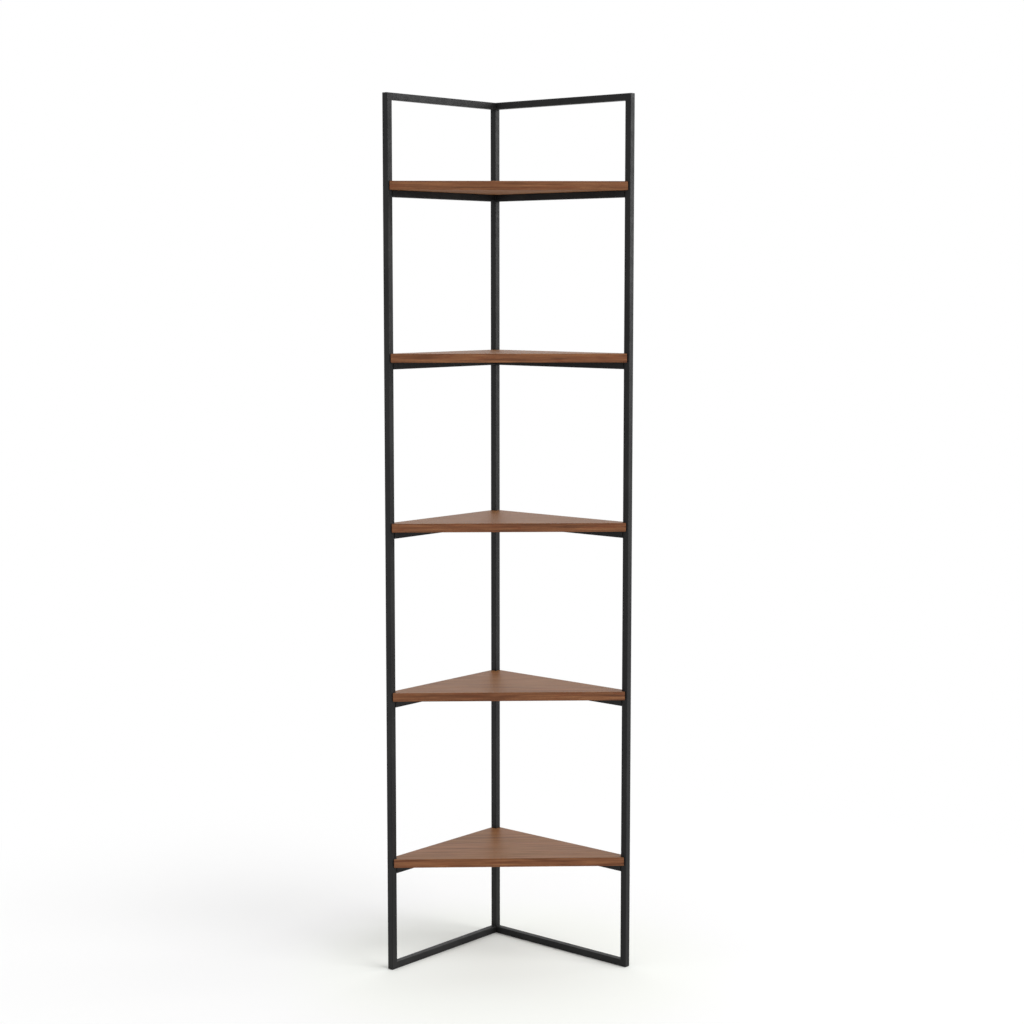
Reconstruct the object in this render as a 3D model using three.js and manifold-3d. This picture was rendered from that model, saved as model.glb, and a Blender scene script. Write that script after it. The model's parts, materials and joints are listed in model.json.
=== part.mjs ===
// Corner shelf unit: a welded frame of square steel tube that stands in the corner of a room,
// with five wooden shelves. Millimetres, +Z up. The origin is on the floor, at the middle of the
// frame's footprint. The side wall of the room is at -X and its back wall at +Y, so the corner
// post is at -X +Y and the open front looks towards +X -Y.
import * as THREE from "three";
import { mergeVertices } from "three/addons/utils/BufferGeometryUtils.js";
import Module from "manifold-3d";

// Frame
const HEIGHT = 1800; // floor to the top of the frame
const SIDE_LENGTH = 342; // along the side wall, over the posts
const BACK_LENGTH = 372; // along the back wall, over the posts
const TUBE = 14; // outside of the square tube
const TUBE_WALL = 1.2;
const TUBE_CORNER = 1.2; // outside radius of the tube's long edges
const MITRE_GAP = 0.3; // between two mitred ends, where the weld goes

// Shelf heights, to the undersides of the shelves
const SHELVES = 5;
const LOWEST_SEAT = 218; // from the floor
const TOP_DROP = 192; // from the top of the frame down to the top shelf
const WIDER_BAYS = 2; // how many of the bays are wider, from the lowest up
const WIDER_BY = 5;

// Shelves
const SHELF_THICKNESS = 18;
const SHELF_EASE = 1.2; // rounding of the shelf's top and bottom edges
const NOTCH_GAP = 0.5; // between a shelf and the posts that it is notched round
const TIP_INSET = 2; // from a front post's outer face back to the shelf's front edge
const TIP_RADIUS = 1.5; // rounding of the sharp tip beside each front post

// Screws that hold a shelf down, from below through its rails
const SCREW_RADIUS = 2;
const SCREW_POINT = 3; // length of the point
const SCREW_COVER = 6; // wood left between the point and the shelf's top
const SCREW_INSET = 60; // from a rail's end to its nearest screw
const HEAD_RADIUS = 4; // of the countersunk head, which ends flush with the rail's underside
const HEAD_RIM = 0.3; // straight edge of the head, below its cone
const SCREW_GAP = 0.3; // between a screw and the holes that it goes through

// Plastic glides, pushed into the frame from below under each post
const GLIDE_RADIUS = 5.5;
const GLIDE_THICKNESS = 0.8; // stands between the frame and the floor
const GLIDE_CHAMFER = 0.3;
const STEM_RADIUS = 2.5;
const STEM_LENGTH = 5.5;
const STEM_TAPER = 1.5; // length of the stem's tapered end
const STEM_GAP = 0.3; // between the stem and its hole

// Facets, overrun of the cuts, and the distance under which two corners are one
const CORNER_STEPS = 2;
const ROUND_SIDES = 12;
const OVERRUN = 1;
const WELD_DISTANCE = 1e-4;

// Places that follow from the sizes
const HALF_TUBE = TUBE / 2;
const LEFT = -BACK_LENGTH / 2;
const RIGHT = BACK_LENGTH / 2;
const FRONT = -SIDE_LENGTH / 2;
const REAR = SIDE_LENGTH / 2;
const FRAME_BOTTOM = GLIDE_THICKNESS;
const SEATS = shelfSeats();

const STEEL = new THREE.MeshStandardMaterial({
  color: 0x2d2d2c,
  roughness: 0.5,
  metalness: 0.3,
});
const WOOD = new THREE.MeshStandardMaterial({
  color: 0x80563d,
  roughness: 0.45,
  metalness: 0,
});
const SCREW_STEEL = new THREE.MeshStandardMaterial({
  color: 0x1d1d1e,
  roughness: 0.4,
  metalness: 0.8,
});
const PLASTIC = new THREE.MeshStandardMaterial({
  color: 0x161616,
  roughness: 0.7,
  metalness: 0,
});

const wasm = await Module();
wasm.setup();

// The heights of the undersides of the shelves, from the lowest up. The shelves share out the
// height between the lowest and the top one.
function shelfSeats() {
  const bays = SHELVES - 1;
  const span = HEIGHT - TOP_DROP - LOWEST_SEAT;
  const pitch = (span - WIDER_BAYS * WIDER_BY) / bays;
  const seats = [LOWEST_SEAT];
  for (let bay = 0; bay < bays; bay++) {
    seats.push(seats.at(-1) + pitch + (bay < WIDER_BAYS ? WIDER_BY : 0));
  }
  return seats;
}

// A closed geometry as a solid that can be joined and cut.
function toSolid(geometry) {
  const bare = geometry.index ? geometry.toNonIndexed() : geometry.clone();
  bare.deleteAttribute("normal");
  bare.deleteAttribute("uv");
  const merged = mergeVertices(bare, WELD_DISTANCE);
  return new wasm.Manifold(
    new wasm.Mesh({
      numProp: 3,
      vertProperties: merged.attributes.position.array,
      triVerts: merged.index.array,
    }),
  );
}

// The geometry of a solid, with flat faces.
function toGeometry(solid) {
  const { vertProperties, triVerts } = solid.getMesh();
  const indexed = new THREE.BufferGeometry();
  indexed.setAttribute("position", new THREE.BufferAttribute(vertProperties, 3));
  indexed.setIndex(new THREE.BufferAttribute(triVerts, 1));
  const geometry = indexed.toNonIndexed();
  geometry.computeVertexNormals();
  return geometry;
}

// The body less each of the cutters.
function cut(body, cutters) {
  let solid = toSolid(body);
  for (const cutter of cutters) {
    solid = solid.subtract(toSolid(cutter));
  }
  return toGeometry(solid);
}

// A square with rounded corners, about the origin.
function roundedSquare(half, radius, Kind) {
  const flat = half - radius;
  const square = new Kind();
  square.absarc(flat, flat, radius, 0, Math.PI / 2);
  square.absarc(-flat, flat, radius, Math.PI / 2, Math.PI);
  square.absarc(-flat, -flat, radius, Math.PI, Math.PI * 1.5);
  square.absarc(flat, -flat, radius, Math.PI * 1.5, Math.PI * 2);
  square.closePath();
  return square;
}

// A length of the square tube along +Z from the origin. A mitred end keeps its full length on
// one side, named by its axis and sign, and loses the tube's width on the opposite one.
function tube(length, start, end) {
  const bore = HALF_TUBE - TUBE_WALL;
  const boreCorner = Math.max(TUBE_CORNER - TUBE_WALL, TUBE_WALL / 4);
  const section = roundedSquare(HALF_TUBE, TUBE_CORNER, THREE.Shape);
  section.holes.push(roundedSquare(bore, boreCorner, THREE.Path));
  const geometry = new THREE.ExtrudeGeometry(section, {
    depth: length,
    bevelEnabled: false,
    curveSegments: CORNER_STEPS,
  });
  const pullBack = MITRE_GAP * Math.SQRT1_2;
  const position = geometry.attributes.position;
  const corner = new THREE.Vector3();
  for (let i = 0; i < position.count; i++) {
    corner.fromBufferAttribute(position, i);
    const mitre = corner.z === 0 ? start : end;
    if (mitre) {
      const lost = HALF_TUBE - mitre.sign * corner[mitre.axis] + pullBack;
      position.setZ(i, corner.z === 0 ? lost : corner.z - lost);
    }
  }
  return geometry;
}

// An upright cylinder from one height to another, at a place in plan.
function upright(radius, bottom, top, x, y) {
  const cylinder = new THREE.CylinderGeometry(radius, radius, top - bottom, ROUND_SIDES);
  return cylinder.rotateX(Math.PI / 2).translate(x, y, (bottom + top) / 2);
}

// A turned piece about Z, from its profile of radius and height pairs.
function turned(profile) {
  const points = profile.map(([radius, height]) => new THREE.Vector2(radius, height));
  return new THREE.LatheGeometry(points, ROUND_SIDES).rotateX(Math.PI / 2);
}

function mesh(name, geometry, material) {
  const piece = new THREE.Mesh(geometry, material);
  piece.name = name;
  return piece;
}

// A rail lies along its wall's +Y with its top at the given height. Its tube is turned so that
// the tube's +Z is the wall's +Y and the tube's -Y is up. Each place along the wall gets a hole.
function rail(name, from, to, top, ends, places, hole) {
  const body = tube(to - from, ends.start, ends.end);
  const cutters = places.map((along) =>
    hole().translate(0, along - from, -HALF_TUBE).rotateX(Math.PI / 2),
  );
  const piece = mesh(name, cutters.length ? cut(body, cutters) : toGeometry(toSolid(body)), STEEL);
  piece.rotation.x = -Math.PI / 2;
  piece.position.set(HALF_TUBE, from, top - HALF_TUBE);
  return piece;
}

// The outline of a countersunk head with a right-angled cone and of the shank above it, up to a
// height, as radius and height pairs. A gap makes it the outline of the hole, which stays that
// far from the rim, the cone and the shank alike.
function countersunk(bottom, top, gap) {
  const rim = HEAD_RIM + gap * (Math.SQRT2 - 1);
  return [
    [0, bottom],
    [HEAD_RADIUS + gap, bottom],
    [HEAD_RADIUS + gap, rim],
    [SCREW_RADIUS + gap, rim + HEAD_RADIUS - SCREW_RADIUS],
    [SCREW_RADIUS + gap, top],
  ];
}

// A screw that points up, the flat of its head at zero.
function screw(name) {
  const length = TUBE + SHELF_THICKNESS - SCREW_COVER;
  const profile = [...countersunk(0, length - SCREW_POINT, 0), [0, length]];
  return mesh(name, turned(profile), SCREW_STEEL);
}

// The hole for a screw through a rail whose underside is at zero.
function screwHole() {
  const top = TUBE + OVERRUN;
  return turned([...countersunk(-OVERRUN, top, SCREW_GAP), [0, top]]);
}

// The hole for a glide's stem in a rail whose underside is at zero.
function stemHole() {
  return upright(STEM_RADIUS + STEM_GAP, -OVERRUN, HALF_TUBE, 0, 0);
}

// A glide, standing on the floor.
function glide(name) {
  const tip = GLIDE_THICKNESS + STEM_LENGTH;
  const profile = [
    [0, 0],
    [GLIDE_RADIUS - GLIDE_CHAMFER, 0],
    [GLIDE_RADIUS, GLIDE_CHAMFER],
    [GLIDE_RADIUS, GLIDE_THICKNESS],
    [STEM_RADIUS, GLIDE_THICKNESS],
    [STEM_RADIUS, tip - STEM_TAPER],
    [STEM_RADIUS - STEM_TAPER / 2, tip],
    [0, tip],
  ];
  return mesh(name, turned(profile), PLASTIC);
}

// Adds a rounded convex corner to an outline that runs counter-clockwise.
function roundCorner(outline, before, corner, after, radius) {
  const back = before.clone().sub(corner).normalize();
  const ahead = after.clone().sub(corner).normalize();
  const half = Math.acos(back.dot(ahead)) / 2;
  const bisector = back.clone().add(ahead).normalize();
  const centre = corner.clone().addScaledVector(bisector, radius / Math.sin(half));
  const reach = radius / Math.tan(half);
  const first = corner.clone().addScaledVector(back, reach).sub(centre);
  const last = corner.clone().addScaledVector(ahead, reach).sub(centre);
  outline.absarc(centre.x, centre.y, radius, first.angle(), last.angle());
}

// A shelf's outline: it covers the rails out to the walls, is notched round the three posts,
// and its front edge runs from one front post to the other.
function shelfOutline() {
  const notch = TUBE + NOTCH_GAP;
  const sideTip = new THREE.Vector2(LEFT + notch, FRONT + TIP_INSET);
  const backTip = new THREE.Vector2(RIGHT - TIP_INSET, REAR - notch);
  const sideInner = new THREE.Vector2(LEFT + notch, FRONT + notch);
  const backInner = new THREE.Vector2(RIGHT - notch, REAR - notch);
  const outline = new THREE.Shape();
  roundCorner(outline, sideInner, sideTip, backTip, TIP_RADIUS);
  roundCorner(outline, sideTip, backTip, backInner, TIP_RADIUS);
  outline.lineTo(backInner.x, backInner.y);
  outline.lineTo(backInner.x, REAR);
  outline.lineTo(LEFT + notch, REAR);
  outline.lineTo(LEFT + notch, REAR - notch);
  outline.lineTo(LEFT, REAR - notch);
  outline.lineTo(LEFT, sideInner.y);
  outline.lineTo(sideInner.x, sideInner.y);
  outline.closePath();
  return outline;
}

// A shelf, its underside at zero, with a blind hole over each screw.
function shelf(name, screwPlaces) {
  const board = new THREE.ExtrudeGeometry(shelfOutline(), {
    depth: SHELF_THICKNESS - 2 * SHELF_EASE,
    bevelThickness: SHELF_EASE,
    bevelSize: SHELF_EASE,
    bevelOffset: -SHELF_EASE,
    bevelSegments: CORNER_STEPS,
    curveSegments: CORNER_STEPS,
  });
  board.translate(0, 0, SHELF_EASE);
  const depth = SHELF_THICKNESS - SCREW_COVER + SCREW_GAP;
  const pilots = screwPlaces.map(({ x, y }) =>
    upright(SCREW_RADIUS + SCREW_GAP, -OVERRUN, depth, x, y),
  );
  return mesh(name, cut(board, pilots), WOOD);
}

// The two screws of each shelf on a wall of this length, as places along the wall.
function screwsAlong(length, cornerAtStart) {
  const first = TUBE + SCREW_INSET;
  const last = length - TUBE - SCREW_INSET;
  return cornerAtStart ? { near: first, far: last } : { near: last, far: first };
}

// One wall's ladder: its rails, its front post and its screws. The wall's own +Y runs along the
// rails and its X is the distance in from the wall. The corner is at its start or at its end.
function ladder(wall, length, cornerAtStart) {
  const group = new THREE.Group();
  const screws = screwsAlong(length, cornerAtStart);
  const toCorner = { axis: "x", sign: -1 };
  const screwPlaces = Object.values(screws);
  const stemPlaces = [HALF_TUBE, length - HALF_TUBE];
  const framed = (sign) => {
    const toPost = { axis: "y", sign };
    return cornerAtStart ? { start: toCorner, end: toPost } : { start: toPost, end: toCorner };
  };
  group.add(
    rail(`${wall}_top_rail`, 0, length, HEIGHT, framed(-1), []),
    rail(`${wall}_base_rail`, 0, length, FRAME_BOTTOM + TUBE, framed(1), stemPlaces, stemHole),
  );
  SEATS.forEach((seat, i) => {
    const number = i + 1;
    const name = `${wall}_shelf_rail_${number}`;
    group.add(rail(name, TUBE, length - TUBE, seat, {}, screwPlaces, screwHole));
    for (const [place, along] of Object.entries(screws)) {
      const piece = screw(`shelf_${number}_screw_${wall}_${place}`);
      piece.position.set(HALF_TUBE, along, seat - TUBE);
      group.add(piece);
    }
  });

  const outward = { axis: "y", sign: cornerAtStart ? 1 : -1 };
  const postGeometry = tube(HEIGHT - FRAME_BOTTOM, outward, outward);
  const post = mesh(`${wall}_post`, toGeometry(toSolid(postGeometry)), STEEL);
  const foot = glide(`${wall}_glide`);
  const postAlong = cornerAtStart ? length - HALF_TUBE : HALF_TUBE;
  post.position.set(HALF_TUBE, postAlong, FRAME_BOTTOM);
  foot.position.set(HALF_TUBE, postAlong, 0);
  group.add(post, foot);
  return group;
}

// The corner post stands on the base rails' mitre and carries the top rails' one.
function cornerPost() {
  const group = new THREE.Group();
  const geometry = tube(HEIGHT - FRAME_BOTTOM - 2 * TUBE);
  const post = mesh("corner_post", toGeometry(toSolid(geometry)), STEEL);
  post.position.z = FRAME_BOTTOM + TUBE;
  group.add(post, glide("corner_glide"));
  group.position.set(LEFT + HALF_TUBE, REAR - HALF_TUBE, 0);
  return group;
}

// The screws' places in plan, in the unit's own frame.
function screwPlan() {
  const side = Object.values(screwsAlong(SIDE_LENGTH, false));
  const back = Object.values(screwsAlong(BACK_LENGTH, true));
  return [
    ...side.map((along) => ({ x: LEFT + HALF_TUBE, y: FRONT + along })),
    ...back.map((along) => ({ x: LEFT + along, y: REAR - HALF_TUBE })),
  ];
}

const unit = new THREE.Group();

const sideLadder = ladder("side", SIDE_LENGTH, false);
sideLadder.position.set(LEFT, FRONT, 0);
const backLadder = ladder("back", BACK_LENGTH, true);
backLadder.rotation.z = -Math.PI / 2;
backLadder.position.set(LEFT, REAR, 0);
unit.add(sideLadder, backLadder, cornerPost());

SEATS.forEach((seat, i) => {
  const board = shelf(`shelf_${i + 1}`, screwPlan());
  board.position.z = seat;
  unit.add(board);
});

export default unit;
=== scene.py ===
"""The looks of a corner shelf unit: finishes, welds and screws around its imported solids.

Lengths are metres in the row frame: +Z up, the side wall at -X, the back wall at +Y.
"""

import json
import math

import bmesh
import bpy
from mathutils import Matrix, Vector


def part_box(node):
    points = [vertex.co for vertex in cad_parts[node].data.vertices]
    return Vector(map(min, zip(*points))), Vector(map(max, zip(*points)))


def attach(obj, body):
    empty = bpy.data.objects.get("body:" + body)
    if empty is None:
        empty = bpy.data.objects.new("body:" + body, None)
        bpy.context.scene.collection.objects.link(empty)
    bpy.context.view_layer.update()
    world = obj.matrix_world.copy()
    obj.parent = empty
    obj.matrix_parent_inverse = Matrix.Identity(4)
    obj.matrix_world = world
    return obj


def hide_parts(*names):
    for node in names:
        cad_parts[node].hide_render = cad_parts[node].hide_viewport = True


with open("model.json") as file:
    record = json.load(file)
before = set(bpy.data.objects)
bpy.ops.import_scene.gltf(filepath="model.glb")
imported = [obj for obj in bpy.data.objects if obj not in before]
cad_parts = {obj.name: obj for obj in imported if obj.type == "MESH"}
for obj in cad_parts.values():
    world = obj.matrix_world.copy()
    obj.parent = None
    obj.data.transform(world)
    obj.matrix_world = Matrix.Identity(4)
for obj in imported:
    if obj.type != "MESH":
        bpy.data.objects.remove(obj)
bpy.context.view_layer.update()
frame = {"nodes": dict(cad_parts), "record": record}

MM = 0.001
UP = Vector((0, 0, 1))
BODY = "root"
SHELVES = 5
WALLS = ("side", "back")
INWARD = {"side": Vector((1, 0, 0)), "back": Vector((0, -1, 0))}  # from the wall into the unit
ALONG = {"side": Vector((0, -1, 0)), "back": Vector((1, 0, 0))}  # from the corner to the front

# Camera, set from the photograph's perspective
CAMERA_AZIMUTH = 40.532  # degrees round from the front of the row frame
CAMERA_DISTANCE = 4.1935  # along the floor, from the middle of the footprint
CAMERA_OFFSET = 0.0064  # to the viewer's right
CAMERA_HEIGHT = 1.4261
CAMERA_PITCH = 6.362  # degrees below the horizon
CAMERA_LENS = 72.71  # mm, on a 36 mm sensor

# Lamps, each a square softbox: its bearing in degrees round and up from the point that it is aimed
# at, its distance from there, the height of that point, its width and its watts
LAMPS = {
    "key": {"bearing": (96, 45), "distance": 22, "aim": 0.9, "size": 12, "power": 1960},
    "back": {"bearing": (200, 60), "distance": 22, "aim": 0.2, "size": 20, "power": 520},
    "fill": {"bearing": (62, 12), "distance": 10, "aim": 0.6, "size": 5, "power": 40},
    "rim": {"bearing": (140, 10), "distance": 16, "aim": 1.4, "size": 6, "power": 760},
}
WORLD_LIGHT = 0.73  # of the room on the unit and the floor. The room itself shows as 1, plain white

# Floor. Its distances are from the middle of the unit
FLOOR_RADIUS = 60.0
FLOOR_SIDES = 96
WHITE = (1.0, 1.0, 1.0)
# The near tint is a painted shadow tint, slightly yellow-green, on the floor near the unit where its
# shade falls
NEAR_SHADOW_TINT = (0.985, 1.0, 0.965)
FAR_TINT = (0.99, 0.99, 0.99)
SHADOW_TINT_FADE_START = 0.28  # where one tint starts to fade to the other
SHADOW_TINT_FADE_END = 0.55
FLOOR_BOUNCE = 0.8  # its colour as the unit sees it
FLOOR_SHADE = 0.85  # how much of the light on it the camera sees
FLOOR_GLOW = 0.07  # what the camera sees of it in full shadow
FADE_START = 0.6  # where it starts to fade to white
FADE_END = 1.6

# Powder coat
PEEL_SIZE = 1.1 * MM
PEEL_DEPTH = 0.05 * MM
GRIT_SIZE = 0.35 * MM
GRIT_DEPTH = 0.02 * MM
PATCH_SIZE = (70 * MM, 70 * MM, 160 * MM)
SMEAR_SIZE = 16 * MM
COAT_WEAR_REACH = 0.4 * MM

# Stained wood. A figure of its grain has a length along it, a width, and its noise's detail,
# roughness and distortion
GRAIN = {
    "broad": (420 * MM, 55 * MM, 2.0, 0.5, 0.0),
    "bands": (210 * MM, 8 * MM, 4.0, 0.55, 0.5),
    "clouds": (60 * MM, 11 * MM, 3.0, 0.6, 0.8),
    "streaks": (90 * MM, 2.6 * MM, 4.0, 0.6, 0.2),
    "fibres": (34 * MM, 0.6 * MM, 2.0, 0.5, 0.0),
    "pores": (6 * MM, 0.32 * MM, 1.0, 0.5, 0.0),
}
FIBRE_DEPTH = 0.03 * MM
PORE_DEPTH = 0.05 * MM
# how far the arrises' rubbed paleness and painted highlight reach
ARRIS_WEAR_AND_HIGHLIGHT_REACH = 0.9 * MM
WALL_EDGE_LOW = 0.65  # how squarely a face looks at a wall, as a cosine, where its banding starts
WALL_EDGE_HIGH = 0.75  # and where it is full

# Blackened steel
RUB_SIZE = 1.4 * MM
STEEL_GRAIN_SIZE = 0.2 * MM
STEEL_GRAIN_DEPTH = 0.01 * MM
SCREW_WEAR_REACH = 0.25 * MM

# Moulded plastic
SPARK_SIZE = 0.25 * MM
SPARK_DEPTH = 0.03 * MM
SCUFF_SIZE = (2.5 * MM, 0.5 * MM, 2.5 * MM)

# Marks on edges, by one less the cosine between the true normal and the rounded one: wear, and on the
# wood's lower arrises also a painted highlight
EDGE_MARK_LOW = 0.02
EDGE_MARK_HIGH = 0.25
EDGE_MARK_SAMPLES = 4

# Frame details
TUBE_CORNER = 1.2 * MM  # outside radius of the tube's long edges
CORNER_STEPS = 6
MITRE_GAP = 0.3 * MM
WELD_LEG = 1.5 * MM
WELD_BULGE = 0.25 * MM
WELD_RIPPLE = 0.12 * MM
WELD_PITCH = 1.1 * MM
WELD_STEP = 0.28 * MM
WELD_SIDES = 6
WELD_END_SHARE = 0.35  # of a bead's full size, at its very end
WELD_TAPER_SHARE = 0.1625  # of a bead's length, over which each end grows to full size

# Countersunk screws
HEAD_RADIUS = 4.0 * MM
HEAD_RIM = 0.3 * MM
HEAD_EDGE = 0.12 * MM  # chamfer round the flat of the head
SHANK_RADIUS = 2.0 * MM
SCREW_POINT = 3.0 * MM
SCREW_SIDES = 48
RECESS_REACH = 2.2 * MM
RECESS_WIDTH = 0.9 * MM
RECESS_DEPTH = 1.5 * MM
RECESS_TAPER_SHARE = 0.45
SCREW_SMOOTH_ANGLE = math.radians(35)

# Facets that are joined and shaded smooth
SMOOTH_ANGLE = math.radians(50)
MERGE_DISTANCE = 0.005 * MM

# Worked out from the frame
POST_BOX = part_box("corner_post")
TUBE = POST_BOX[1].x - POST_BOX[0].x


def linear(*levels):
    """A colour given as it shows on screen, 0 to 255 a channel, as linear light."""
    shares = [level / 255 for level in levels]
    light = [s / 12.92 if s <= 0.04045 else ((s + 0.055) / 1.055) ** 2.4 for s in shares]
    return (*light, 1.0)


def dimmed(tint, share):
    """A tint of linear light at this share of its level, as an opaque colour."""
    return (*(share * level for level in tint), 1.0)


class Nodes:
    """A node tree, with short calls for the nodes that the finishes and the world use."""

    COLOUR_A = 6  # the Mix node's sockets for colours
    COLOUR_B = 7
    COLOUR_RESULT = 2

    def __init__(self, tree):
        self.tree = tree

    def add(self, kind, **settings):
        node = self.tree.nodes.new(kind)
        for key, value in settings.items():
            setattr(node, key, value)
        return node

    def feed(self, socket, value):
        """Links the value to the socket if it is an output, or else sets it there."""
        if isinstance(value, bpy.types.NodeSocket):
            self.tree.links.new(value, socket)
        else:
            socket.default_value = value

    def place(self, turn=0.0, size=1.0):
        """The object's coordinates along and across a turn about Z, in features of this size.

        The size is one length, or three along, across and up.
        """
        coordinates = self.add("ShaderNodeTexCoord").outputs["Object"]
        turned = self.add("ShaderNodeVectorRotate", rotation_type="Z_AXIS", invert=True)
        self.feed(turned.inputs["Vector"], coordinates)
        self.feed(turned.inputs["Angle"], turn)
        scaled = self.add("ShaderNodeVectorMath", operation="DIVIDE")
        self.feed(scaled.inputs[0], turned.outputs["Vector"])
        self.feed(scaled.inputs[1], size if isinstance(size, tuple) else (size, size, size))
        return scaled.outputs["Vector"]

    def noise(self, where, detail, roughness=0.5, distortion=0.0):
        node = self.add("ShaderNodeTexNoise")
        self.feed(node.inputs["Vector"], where)
        self.feed(node.inputs["Scale"], 1.0)
        self.feed(node.inputs["Detail"], detail)
        self.feed(node.inputs["Roughness"], roughness)
        self.feed(node.inputs["Distortion"], distortion)
        return node.outputs["Fac"]

    def spread(self, value, low, high, out_low=0.0, out_high=1.0):
        """The value's range from low to high, smoothed and spread over another range."""
        node = self.add("ShaderNodeMapRange", interpolation_type="SMOOTHSTEP")
        for socket, number in zip(node.inputs, (value, low, high, out_low, out_high)):
            self.feed(socket, number)
        return node.outputs["Result"]

    def math(self, first, second, operation):
        node = self.add("ShaderNodeMath", operation=operation)
        self.feed(node.inputs[0], first)
        self.feed(node.inputs[1], second)
        return node.outputs["Value"]

    def blend(self, share, first, second):
        node = self.add("ShaderNodeMix", data_type="RGBA")
        self.feed(node.inputs["Factor"], share)
        self.feed(node.inputs[self.COLOUR_A], first)
        self.feed(node.inputs[self.COLOUR_B], second)
        return node.outputs[self.COLOUR_RESULT]

    def bump(self, height, depth, strength, normal=None):
        node = self.add("ShaderNodeBump")
        self.feed(node.inputs["Height"], height)
        self.feed(node.inputs["Distance"], depth)
        self.feed(node.inputs["Strength"], strength)
        if normal is not None:
            self.feed(node.inputs["Normal"], normal)
        return node.outputs["Normal"]

    def edges(self, reach):
        """Near 1 on edges that a hand or a cloth would rub, and 0 on the flats past this reach."""
        rounded = self.add("ShaderNodeBevel", samples=EDGE_MARK_SAMPLES)
        self.feed(rounded.inputs["Radius"], reach)
        true = self.add("ShaderNodeNewGeometry").outputs["Normal"]
        along = self.add("ShaderNodeVectorMath", operation="DOT_PRODUCT")
        self.feed(along.inputs[0], rounded.outputs["Normal"])
        self.feed(along.inputs[1], true)
        return self.spread(self.math(1.0, along.outputs["Value"], "SUBTRACT"), EDGE_MARK_LOW, EDGE_MARK_HIGH)

    def facing(self, axis):
        """1 on faces that look along the row frame's axis, 0 on those beside it, -1 behind it."""
        split = self.add("ShaderNodeSeparateXYZ")
        self.feed(split.inputs[0], self.add("ShaderNodeNewGeometry").outputs["Normal"])
        return split.outputs[axis]

    def distance(self):
        """How far a point is from the origin of its object."""
        node = self.add("ShaderNodeVectorMath", operation="LENGTH")
        self.feed(node.inputs[0], self.place())
        return node.outputs["Value"]

    def seen(self):
        """1 where the camera, a reflection or a clear material looks, and 0 for light."""
        path = self.add("ShaderNodeLightPath")
        share = path.outputs["Is Camera Ray"]
        for kind in ("Is Glossy Ray", "Is Transmission Ray"):
            share = self.math(share, path.outputs[kind], "MAXIMUM")
        return share


class Finish(Nodes):
    """A new material, its node tree empty but for its output."""

    def __init__(self, name):
        self.material = bpy.data.materials.new(name)
        self.material.use_nodes = True
        super().__init__(self.material.node_tree)
        self.tree.nodes.clear()
        self.output = self.add("ShaderNodeOutputMaterial")

    def principled(self, **sockets):
        shader = self.add("ShaderNodeBsdfPrincipled")
        for name, value in sockets.items():
            self.feed(shader.inputs[name.replace("_", " ")], value)
        self.feed(self.output.inputs["Surface"], shader.outputs["BSDF"])

    def mix_shaders(self, share, first, second):
        node = self.add("ShaderNodeMixShader")
        self.feed(node.inputs["Fac"], share)
        self.feed(node.inputs[1], first)
        self.feed(node.inputs[2], second)
        return node.outputs["Shader"]


def powder_coat(name):
    """Black powder coat: fine orange peel, a little dust and slightly paler worn edges."""
    finish = Finish(name)
    peel = finish.noise(finish.place(size=PEEL_SIZE), 2.0)
    grit = finish.noise(finish.place(size=GRIT_SIZE), 1.0)
    patches = finish.noise(finish.place(size=PATCH_SIZE), 3.0)
    smears = finish.noise(finish.place(size=SMEAR_SIZE), 4.0, 0.6)
    tone = finish.blend(finish.spread(patches, 0.35, 0.65), linear(23, 23, 24), linear(31, 31, 31))
    speckled = finish.blend(finish.spread(grit, 0.6, 0.75, 0, 0.3), tone, linear(56, 56, 55))
    edge_marks = finish.math(
        finish.edges(COAT_WEAR_REACH), finish.spread(smears, 0.4, 0.7, 0, 0.3), "MULTIPLY"
    )
    relief = finish.bump(peel, PEEL_DEPTH, 0.5)
    relief = finish.bump(grit, GRIT_DEPTH, 0.5, relief)
    finish.principled(
        Base_Color=finish.blend(edge_marks, speckled, linear(84, 83, 80)),
        Roughness=finish.spread(smears, 0.3, 0.7, 0.42, 0.52),
        Specular_IOR_Level=0.18,
        Normal=relief,
    )
    return finish.material


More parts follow.
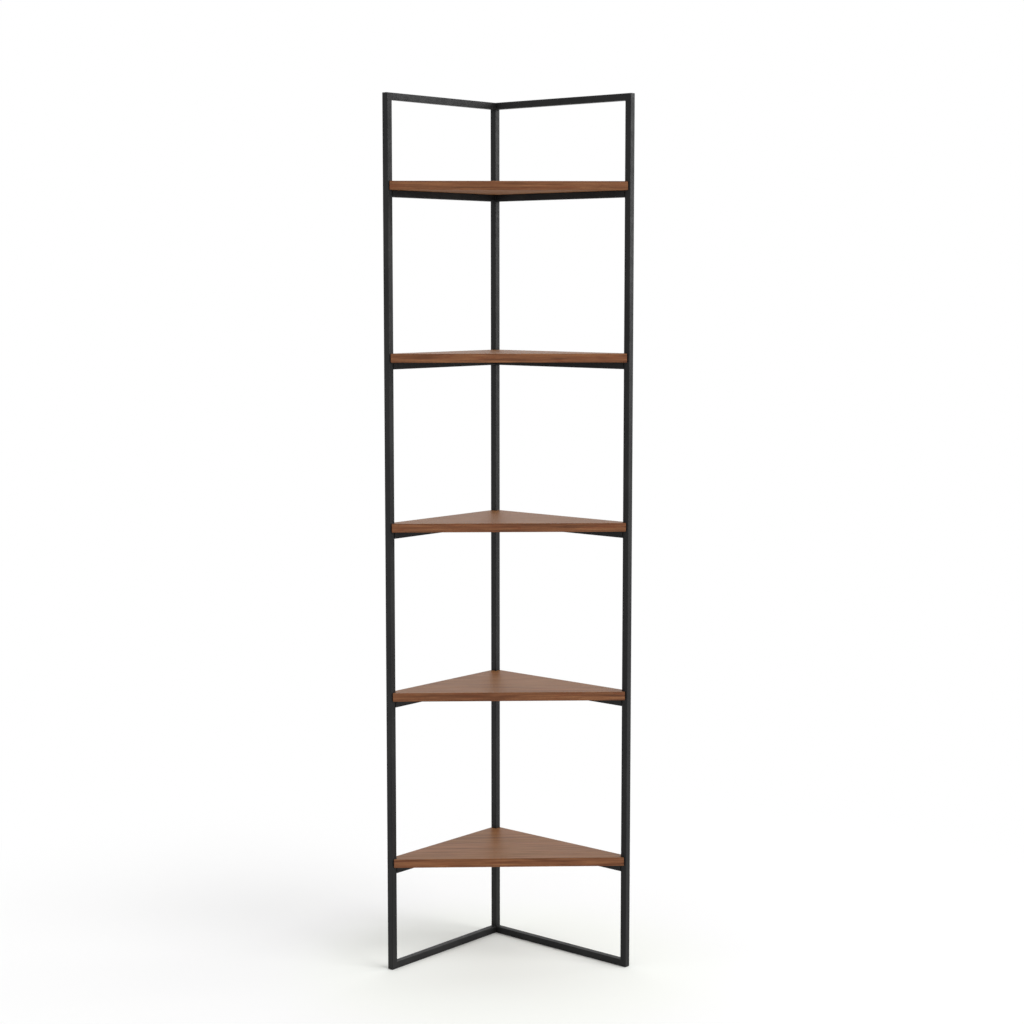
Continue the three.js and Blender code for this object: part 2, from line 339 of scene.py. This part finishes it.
def stained_wood(name, grain_turn):
    """Brown stained board under a satin lacquer, its grain along the shelf's front edge.

    The two wall edges are banded, with the grain along them. The grain is strong on every edge
    and fainter on the top and the underside. The underside has less lacquer. The top and the
    underside are painted lighter than the edges, as painted light. The upper arrises are darker,
    and the lower ones are rubbed paler, which also paints a highlight along them.
    """
    finish = Finish(name)
    upward = finish.facing("Z")
    level = finish.spread(finish.math(upward, 2.0, "POWER"), 0.3, 0.8)
    above = finish.spread(upward, -0.3, 0.3)
    turn = finish.spread(
        finish.facing("X"), -WALL_EDGE_HIGH, -WALL_EDGE_LOW, math.pi / 2, grain_turn
    )
    turn = finish.spread(finish.facing("Y"), WALL_EDGE_LOW, WALL_EDGE_HIGH, turn, 0.0)

    def figure(kind):
        along, across, *look = GRAIN[kind]
        return finish.noise(finish.place(turn, (along, across, across)), *look)

    def share(value, low, high, on_edges, on_faces, rising=False):
        """How much of a tone shows where the value lies below low, or above high if rising."""
        ends = (0.0, 1.0) if rising else (1.0, 0.0)
        strength = finish.spread(level, 0.0, 1.0, on_edges, on_faces)
        return finish.math(finish.spread(value, low, high, *ends), strength, "MULTIPLY")

    broad, bands, clouds, streaks, fibres, pores = [figure(kind) for kind in GRAIN]
    # Painted light: the level faces, the top and the underside, are painted lighter and yellower than
    # the edges, for the light that falls on them
    tone = finish.blend(level, linear(121, 75, 47), linear(127, 86, 46))
    plain = finish.blend(finish.spread(broad, 0.35, 0.65, 0, 0.6), tone, linear(130, 86, 54))
    ruddy = finish.blend(share(clouds, 0.3, 0.5, 0.75, 0.4), plain, linear(116, 62, 34))
    dark = finish.blend(share(bands, 0.34, 0.5, 0.9, 0.7), ruddy, linear(98, 57, 31))
    light = finish.blend(share(bands, 0.52, 0.66, 0.85, 0.75, True), dark, linear(141, 94, 60))
    lined = finish.blend(share(streaks, 0.3, 0.48, 0.8, 0.45), light, linear(75, 42, 23))
    pale = finish.blend(share(streaks, 0.54, 0.72, 0.6, 0.45, True), lined, linear(162, 113, 74))
    fibred = finish.blend(share(fibres, 0.3, 0.7, 0.25, 0.2), pale, linear(78, 47, 28))
    pored = finish.blend(share(pores, 0.62, 0.72, 0.5, 0.35, True), fibred, linear(58, 36, 22))
    # The arrises: the lower ones are rubbed paler, which also paints a highlight along them, and the
    # upper ones are darker
    edge_marks = finish.math(
        finish.edges(ARRIS_WEAR_AND_HIGHLIGHT_REACH), finish.spread(bands, 0.3, 0.7, 0.3, 0.7), "MULTIPLY"
    )
    arris_tone_and_highlight = finish.blend(above, linear(158, 120, 92), linear(78, 50, 34))
    sheen = finish.spread(streaks, 0.3, 0.7, 0.5, 0.42)
    relief = finish.bump(fibres, FIBRE_DEPTH, 0.5)
    relief = finish.bump(pores, -PORE_DEPTH, 0.5, relief)
    finish.principled(
        Base_Color=finish.blend(edge_marks, pored, arris_tone_and_highlight),
        Roughness=finish.spread(upward, -0.9, -0.3, 0.8, sheen),
        Specular_IOR_Level=0.21,
        Normal=relief,
    )
    return finish.material


def black_screw(name):
    """Blackened steel, rubbed to bare metal in places."""
    finish = Finish(name)
    rub = finish.noise(finish.place(size=RUB_SIZE), 4.0, 0.6)
    grain = finish.noise(finish.place(size=STEEL_GRAIN_SIZE), 2.0)
    bare = finish.math(
        finish.edges(SCREW_WEAR_REACH), finish.spread(rub, 0.4, 0.65, 0.1, 0.8), "MULTIPLY"
    )
    finish.principled(
        Base_Color=finish.blend(bare, linear(40, 40, 42), linear(138, 136, 132)),
        Metallic=0.85,
        Roughness=finish.spread(rub, 0.3, 0.7, 0.5, 0.34),
        Normal=finish.bump(grain, STEEL_GRAIN_DEPTH, 0.5),
    )
    return finish.material


def moulded_plastic(name):
    """Black moulded plastic with a fine spark-eroded texture, greyed where it scuffs."""
    finish = Finish(name)
    sparks = finish.noise(finish.place(size=SPARK_SIZE), 2.0)
    scuffs = finish.noise(finish.place(size=SCUFF_SIZE), 4.0, 0.65)
    greyed = finish.spread(scuffs, 0.55, 0.75, 0, 0.5)
    finish.principled(
        Base_Color=finish.blend(greyed, linear(27, 27, 28), linear(74, 73, 71)),
        Roughness=finish.spread(scuffs, 0.4, 0.7, 0.6, 0.75),
        Normal=finish.bump(sparks, SPARK_DEPTH, 0.6),
    )
    return finish.material


def pale_floor(name):
    """A matt pale floor that keeps the unit's shadow and is plain white away from it.

    Near the unit it has a painted shadow tint, slightly yellow-green, fading to the plain far tint.
    """
    finish = Finish(name)
    matt = finish.add("ShaderNodeBsdfDiffuse")
    finish.feed(matt.inputs["Color"], dimmed(WHITE, FLOOR_BOUNCE))
    distance = finish.distance()
    # the painted shadow tint near the unit, fading to the plain far tint
    shadow_tint_fade = finish.spread(distance, SHADOW_TINT_FADE_START, SHADOW_TINT_FADE_END)

    def tinted(share):
        return finish.blend(shadow_tint_fade, dimmed(NEAR_SHADOW_TINT, share), dimmed(FAR_TINT, share))

    shaded = finish.add("ShaderNodeBsdfDiffuse")
    finish.feed(shaded.inputs["Color"], tinted(FLOOR_SHADE))
    glow = finish.add("ShaderNodeEmission")
    finish.feed(glow.inputs["Color"], tinted(1.0))
    finish.feed(glow.inputs["Strength"], FLOOR_GLOW)
    near = finish.add("ShaderNodeAddShader")
    finish.feed(near.inputs[0], shaded.outputs["BSDF"])
    finish.feed(near.inputs[1], glow.outputs["Emission"])
    white = finish.add("ShaderNodeEmission")
    fade = finish.spread(distance, FADE_START, FADE_END)
    shown = finish.mix_shaders(fade, near.outputs["Shader"], white.outputs["Emission"])
    surface = finish.mix_shaders(finish.seen(), matt.outputs["BSDF"], shown)
    finish.feed(finish.output.inputs["Surface"], surface)
    return finish.material


def smoothing():
    """A node group that joins a solid's facets and shades its rounded edges smooth."""
    group = bpy.data.node_groups.new("smooth_rounded_edges", "GeometryNodeTree")
    for direction in ("INPUT", "OUTPUT"):
        group.interface.new_socket("Geometry", in_out=direction, socket_type="NodeSocketGeometry")
    add, link = group.nodes.new, group.links.new
    start, end = add("NodeGroupInput"), add("NodeGroupOutput")
    bare = add("GeometryNodeRemoveAttribute")
    bare.inputs["Name"].default_value = "custom_normal"
    merge = add("GeometryNodeMergeByDistance")
    merge.inputs["Distance"].default_value = MERGE_DISTANCE
    faces = add("GeometryNodeSetShadeSmooth")
    faces.domain = "FACE"
    sharp = add("GeometryNodeSetShadeSmooth")
    sharp.domain = "EDGE"
    sharp.inputs["Shade Smooth"].default_value = False
    angle = add("GeometryNodeInputMeshEdgeAngle")
    over = add("ShaderNodeMath")
    over.operation = "GREATER_THAN"
    over.inputs[1].default_value = SMOOTH_ANGLE
    link(start.outputs[0], bare.inputs["Geometry"])
    link(bare.outputs["Geometry"], merge.inputs["Geometry"])
    link(merge.outputs["Geometry"], faces.inputs["Geometry"])
    link(faces.outputs["Geometry"], sharp.inputs["Geometry"])
    link(angle.outputs["Unsigned Angle"], over.inputs[0])
    link(over.outputs["Value"], sharp.inputs["Selection"])
    link(sharp.outputs["Geometry"], end.inputs[0])
    return group


def dress(node, material, group):
    """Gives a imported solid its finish, and smooth shading on its rounded edges."""
    piece = frame["nodes"][node]
    piece.data.materials.clear()
    piece.data.materials.append(material)
    piece.modifiers.new("smooth", "NODES").node_group = group
    weighted = piece.modifiers.new("flat faces stay flat", "WEIGHTED_NORMAL")
    weighted.keep_sharp = True


def link_object(name, data):
    """A new object in the scene, at the origin."""
    item = bpy.data.objects.new(name, data)
    bpy.context.scene.collection.objects.link(item)
    return item


def add_piece(name, mesh, material, smooth=True):
    """A new piece of the object, which rides on its one body."""
    mesh.materials.append(material)
    for face in mesh.polygons:
        face.use_smooth = smooth
    piece = link_object(name, mesh)
    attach(piece, BODY)
    return piece


def finish_mesh(name, shape):
    """The built shape as a mesh, its faces looking outwards."""
    bmesh.ops.recalc_face_normals(shape, faces=shape.faces)
    mesh = bpy.data.meshes.new(name)
    shape.to_mesh(mesh)
    shape.free()
    return mesh


def join_rings(shape, rings):
    """Faces from each ring of corners to the next, and a cap at both ends."""
    for one, two in zip(rings, rings[1:]):
        for k in range(len(one)):
            following = (k + 1) % len(one)
            shape.faces.new((one[k], one[following], two[following], two[k]))
    shape.faces.new(reversed(rings[0]))
    shape.faces.new(rings[-1])


def add_bead(shape, start, end, out_a, out_b):
    """A rippled weld bead along an inside edge, between faces that look along out_a and out_b."""
    line = end - start
    count = round(line.length / WELD_STEP)
    rings = []
    for i in range(count + 1):
        share = i / count
        root = start + line * share
        ripple = WELD_RIPPLE * math.cos(2 * math.pi * share * line.length / WELD_PITCH)
        growth = min(share, 1 - share) / WELD_TAPER_SHARE
        taper = min(1.0, WELD_END_SHARE + (1 - WELD_END_SHARE) * growth)
        reach = (WELD_LEG + ripple) * taper
        ring = [shape.verts.new(root)]
        for k in range(WELD_SIDES + 1):
            across = k / WELD_SIDES
            bulge = WELD_BULGE * math.sin(math.pi * across) * taper
            offset = out_a * (reach * across) + out_b * (reach * (1 - across))
            ring.append(shape.verts.new(root + offset + (out_a + out_b) * bulge))
        rings.append(ring)
    join_rings(shape, rings)


def rounded_section(half, radius):
    """Corners of the tube's section, about its middle."""
    flat = half - radius
    points = []
    for quarter in range(4):
        centre = Matrix.Rotation(quarter * math.pi / 2, 2) @ Vector((flat, flat))
        for step in range(CORNER_STEPS + 1):
            angle = (quarter + step / CORNER_STEPS) * math.pi / 2
            points.append(centre + radius * Vector((math.cos(angle), math.sin(angle))))
    return points


def post_axis(name):
    """The middle of a post, on the floor."""
    low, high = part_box(name)
    middle = (low + high) / 2
    return Vector((middle.x, middle.y, 0))


def weld_rail_end(wall, rail, at_front, material):
    """Beads where a rail meets a post: below it and on its inner side."""
    low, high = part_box(rail)
    post = post_axis(f"{wall}_post" if at_front else "corner_post")
    toward_rail = -ALONG[wall] if at_front else ALONG[wall]
    inward = INWARD[wall]
    half = TUBE / 2
    reach = half - TUBE_CORNER
    face = post + toward_rail * half
    below = face + UP * low.z
    bottom = face + inward * half + UP * (low.z + TUBE_CORNER)
    top = face + inward * half + UP * (high.z - TUBE_CORNER)
    shape = bmesh.new()
    add_bead(shape, below - inward * reach, below + inward * reach, -UP, toward_rail)
    add_bead(shape, bottom, top, inward, toward_rail)
    end = "front" if at_front else "corner"
    name = f"weld_{rail}_{end}"
    add_piece(name, finish_mesh(name, shape), material)


def weld_inside_corner(name, corner, width_along, out_a, out_b, material):
    """One bead across the tube, in the inside corner of a frame joint."""
    reach = TUBE / 2 - TUBE_CORNER
    shape = bmesh.new()
    add_bead(shape, corner - width_along * reach, corner + width_along * reach, out_a, out_b)
    add_piece(name, finish_mesh(name, shape), material)


def mitre_seam(name, middle, first, second, material):
    """The ground weld that fills a mitre, between tubes that leave along first and second."""
    gap = MITRE_GAP * math.sqrt(0.5)
    side = first.cross(second)
    shape = bmesh.new()
    ends = ([], [])
    for point in rounded_section(TUBE / 2, TUBE_CORNER):
        for verts, leave, other in zip(ends, (first, second), (second, first)):
            across = other * point.x + side * point.y
            verts.append(shape.verts.new(middle + across + leave * (point.x + gap)))
    join_rings(shape, ends)
    add_piece(name, finish_mesh(name, shape), material, smooth=False)


def weld_frame(material):
    """Every weld of the frame."""
    half = TUBE / 2
    corner = post_axis("corner_post")
    for wall in WALLS:
        for number in range(1, SHELVES + 1):
            for at_front in (False, True):
                weld_rail_end(wall, f"{wall}_shelf_rail_{number}", at_front, material)
    for place, inner in (("top", -UP), ("base", UP)):
        low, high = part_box(f"side_{place}_rail")
        level = UP * (low.z + high.z) / 2
        mitre_seam(f"seam_{place}_corner", corner + level, ALONG["side"], ALONG["back"], material)
        for wall in WALLS:
            along, inward = ALONG[wall], INWARD[wall]
            front = post_axis(f"{wall}_post") + level
            rear = corner + level
            at_front = front + (inner - along) * half
            at_rear = rear + (inner + along) * half
            weld_inside_corner(f"weld_{wall}_{place}_corner", at_front, inward, inner, -along, material)
            mitre_seam(f"seam_{wall}_{place}_front", front, -along, inner, material)
            weld_inside_corner(f"weld_{wall}_{place}_post", at_rear, inward, along, inner, material)


def screw_mesh():
    """A countersunk screw with a crossed recess, the flat of its head at zero, pointing up."""
    low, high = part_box("shelf_1_screw_side_near")
    length = high.z - low.z
    profile = [
        (0.0, 0.0),
        (HEAD_RADIUS - HEAD_EDGE, 0.0),
        (HEAD_RADIUS, HEAD_EDGE),
        (HEAD_RADIUS, HEAD_RIM),
        (SHANK_RADIUS, HEAD_RIM + HEAD_RADIUS - SHANK_RADIUS),
        (SHANK_RADIUS, length - SCREW_POINT),
        (0.0, length),
    ]
    shape = bmesh.new()
    verts = [shape.verts.new((radius, 0, height)) for radius, height in profile]
    edges = [shape.edges.new(pair) for pair in zip(verts, verts[1:])]
    bmesh.ops.spin(
        shape, geom=verts + edges, axis=UP, cent=Vector(), steps=SCREW_SIDES, angle=2 * math.pi,
        use_merge=True,
    )
    bmesh.ops.remove_doubles(shape, verts=shape.verts, dist=MERGE_DISTANCE)
    return cut_recess(finish_mesh("countersunk_screw", shape))


def recess_cutter():
    """Two crossed bars that taper upwards, through the flat of a head at zero."""
    shape = bmesh.new()
    for turn in range(2):
        for vert in bmesh.ops.create_cube(shape, size=1.0)["verts"]:
            deep = vert.co.z > 0
            vert.co.x *= 2 * RECESS_REACH * (RECESS_TAPER_SHARE if deep else 1.0)
            vert.co.y *= RECESS_WIDTH
            vert.co.z = RECESS_DEPTH if deep else -RECESS_DEPTH
            vert.co.rotate(Matrix.Rotation(turn * math.pi / 2, 3, "Z"))
    return finish_mesh("recess_cutter", shape)


def cut_recess(mesh):
    """Cuts the crossed recess into the head from below."""
    blade = link_object("recess_cutter", recess_cutter())
    body = link_object("recess_body", mesh)
    cut = body.modifiers.new("recess", "BOOLEAN")
    cut.object = blade
    cut.solver = "EXACT"
    cut.use_self = True
    bpy.context.view_layer.update()
    evaluated = body.evaluated_get(bpy.context.evaluated_depsgraph_get())
    result = bpy.data.meshes.new_from_object(evaluated)
    for item in (blade, body):
        bpy.data.objects.remove(item)
    return result


def place_screws(material):
    """A detailed screw over each plain one."""
    mesh = screw_mesh()
    for number in range(1, SHELVES + 1):
        for wall in WALLS:
            for place in ("near", "far"):
                node = f"shelf_{number}_screw_{wall}_{place}"
                low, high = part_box(node)
                piece = add_piece(f"recessed_{node}", mesh.copy(), material)
                piece.data.set_sharp_from_angle(angle=SCREW_SMOOTH_ANGLE)
                middle = (low + high) / 2
                piece.location = (middle.x, middle.y, low.z)
                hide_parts(node)


def add_lamp(name, bearing, distance, aim, size, power):
    """A softbox on this bearing from a point over the origin, facing that point."""
    data = bpy.data.lights.new(name, "AREA")
    data.size = size
    data.energy = power
    lamp = link_object(name, data)
    turn, rise = (math.radians(angle) for angle in bearing)
    away = Vector((math.sin(turn) * math.cos(rise), -math.cos(turn) * math.cos(rise), math.sin(rise)))
    lamp.location = UP * aim + away * distance
    lamp.rotation_euler = away.to_track_quat("Z", "Y").to_euler()


def add_world():
    """An even pale room: white to the camera and in reflections, and dimmer as light."""
    world = bpy.data.worlds.new("pale_room")
    bpy.context.scene.world = world
    world.use_nodes = True
    background = world.node_tree.nodes["Background"]
    nodes = Nodes(world.node_tree)
    nodes.feed(background.inputs["Color"], dimmed(WHITE, 1.0))
    strength = nodes.spread(nodes.seen(), 0.0, 1.0, WORLD_LIGHT, 1.0)
    nodes.feed(background.inputs["Strength"], strength)


def add_floor():
    """A round floor, too wide for its rim to show."""
    shape = bmesh.new()
    bmesh.ops.create_circle(shape, cap_ends=True, radius=FLOOR_RADIUS, segments=FLOOR_SIDES)
    mesh = finish_mesh("floor", shape)
    mesh.materials.append(pale_floor("pale_floor"))
    link_object("floor", mesh)


def add_camera():
    """The camera at the photograph's angle."""
    turn = math.radians(CAMERA_AZIMUTH)
    data = bpy.data.cameras.new("camera")
    data.lens = CAMERA_LENS
    camera = link_object("camera", data)
    camera.location = (
        math.sin(turn) * CAMERA_DISTANCE + math.cos(turn) * CAMERA_OFFSET,
        -math.cos(turn) * CAMERA_DISTANCE + math.sin(turn) * CAMERA_OFFSET,
        CAMERA_HEIGHT,
    )
    camera.rotation_euler = (math.radians(90 - CAMERA_PITCH), 0, turn)
    bpy.context.scene.camera = camera


def dress_nodes(steel):
    """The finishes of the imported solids. The screws are left out, because they are replaced."""
    front_edge = post_axis("back_post") - post_axis("side_post")
    finishes = {
        "frame_steel": steel,
        "shelf_wood": stained_wood("stained_wood", math.atan2(front_edge.y, front_edge.x)),
        "glide_plastic": moulded_plastic("moulded_plastic"),
    }
    group = smoothing()
    for part in frame["record"]["subparts"]:
        if part["material_slot"] in finishes:
            dress(part["node"], finishes[part["material_slot"]], group)


add_camera()
add_world()
add_floor()
for lamp_name, settings in LAMPS.items():
    add_lamp(lamp_name, **settings)
steel_finish = powder_coat("powder_coat")
dress_nodes(steel_finish)
weld_frame(steel_finish)
place_screws(black_screw("black_screw"))

bpy.context.scene.view_settings.view_transform = "Standard"
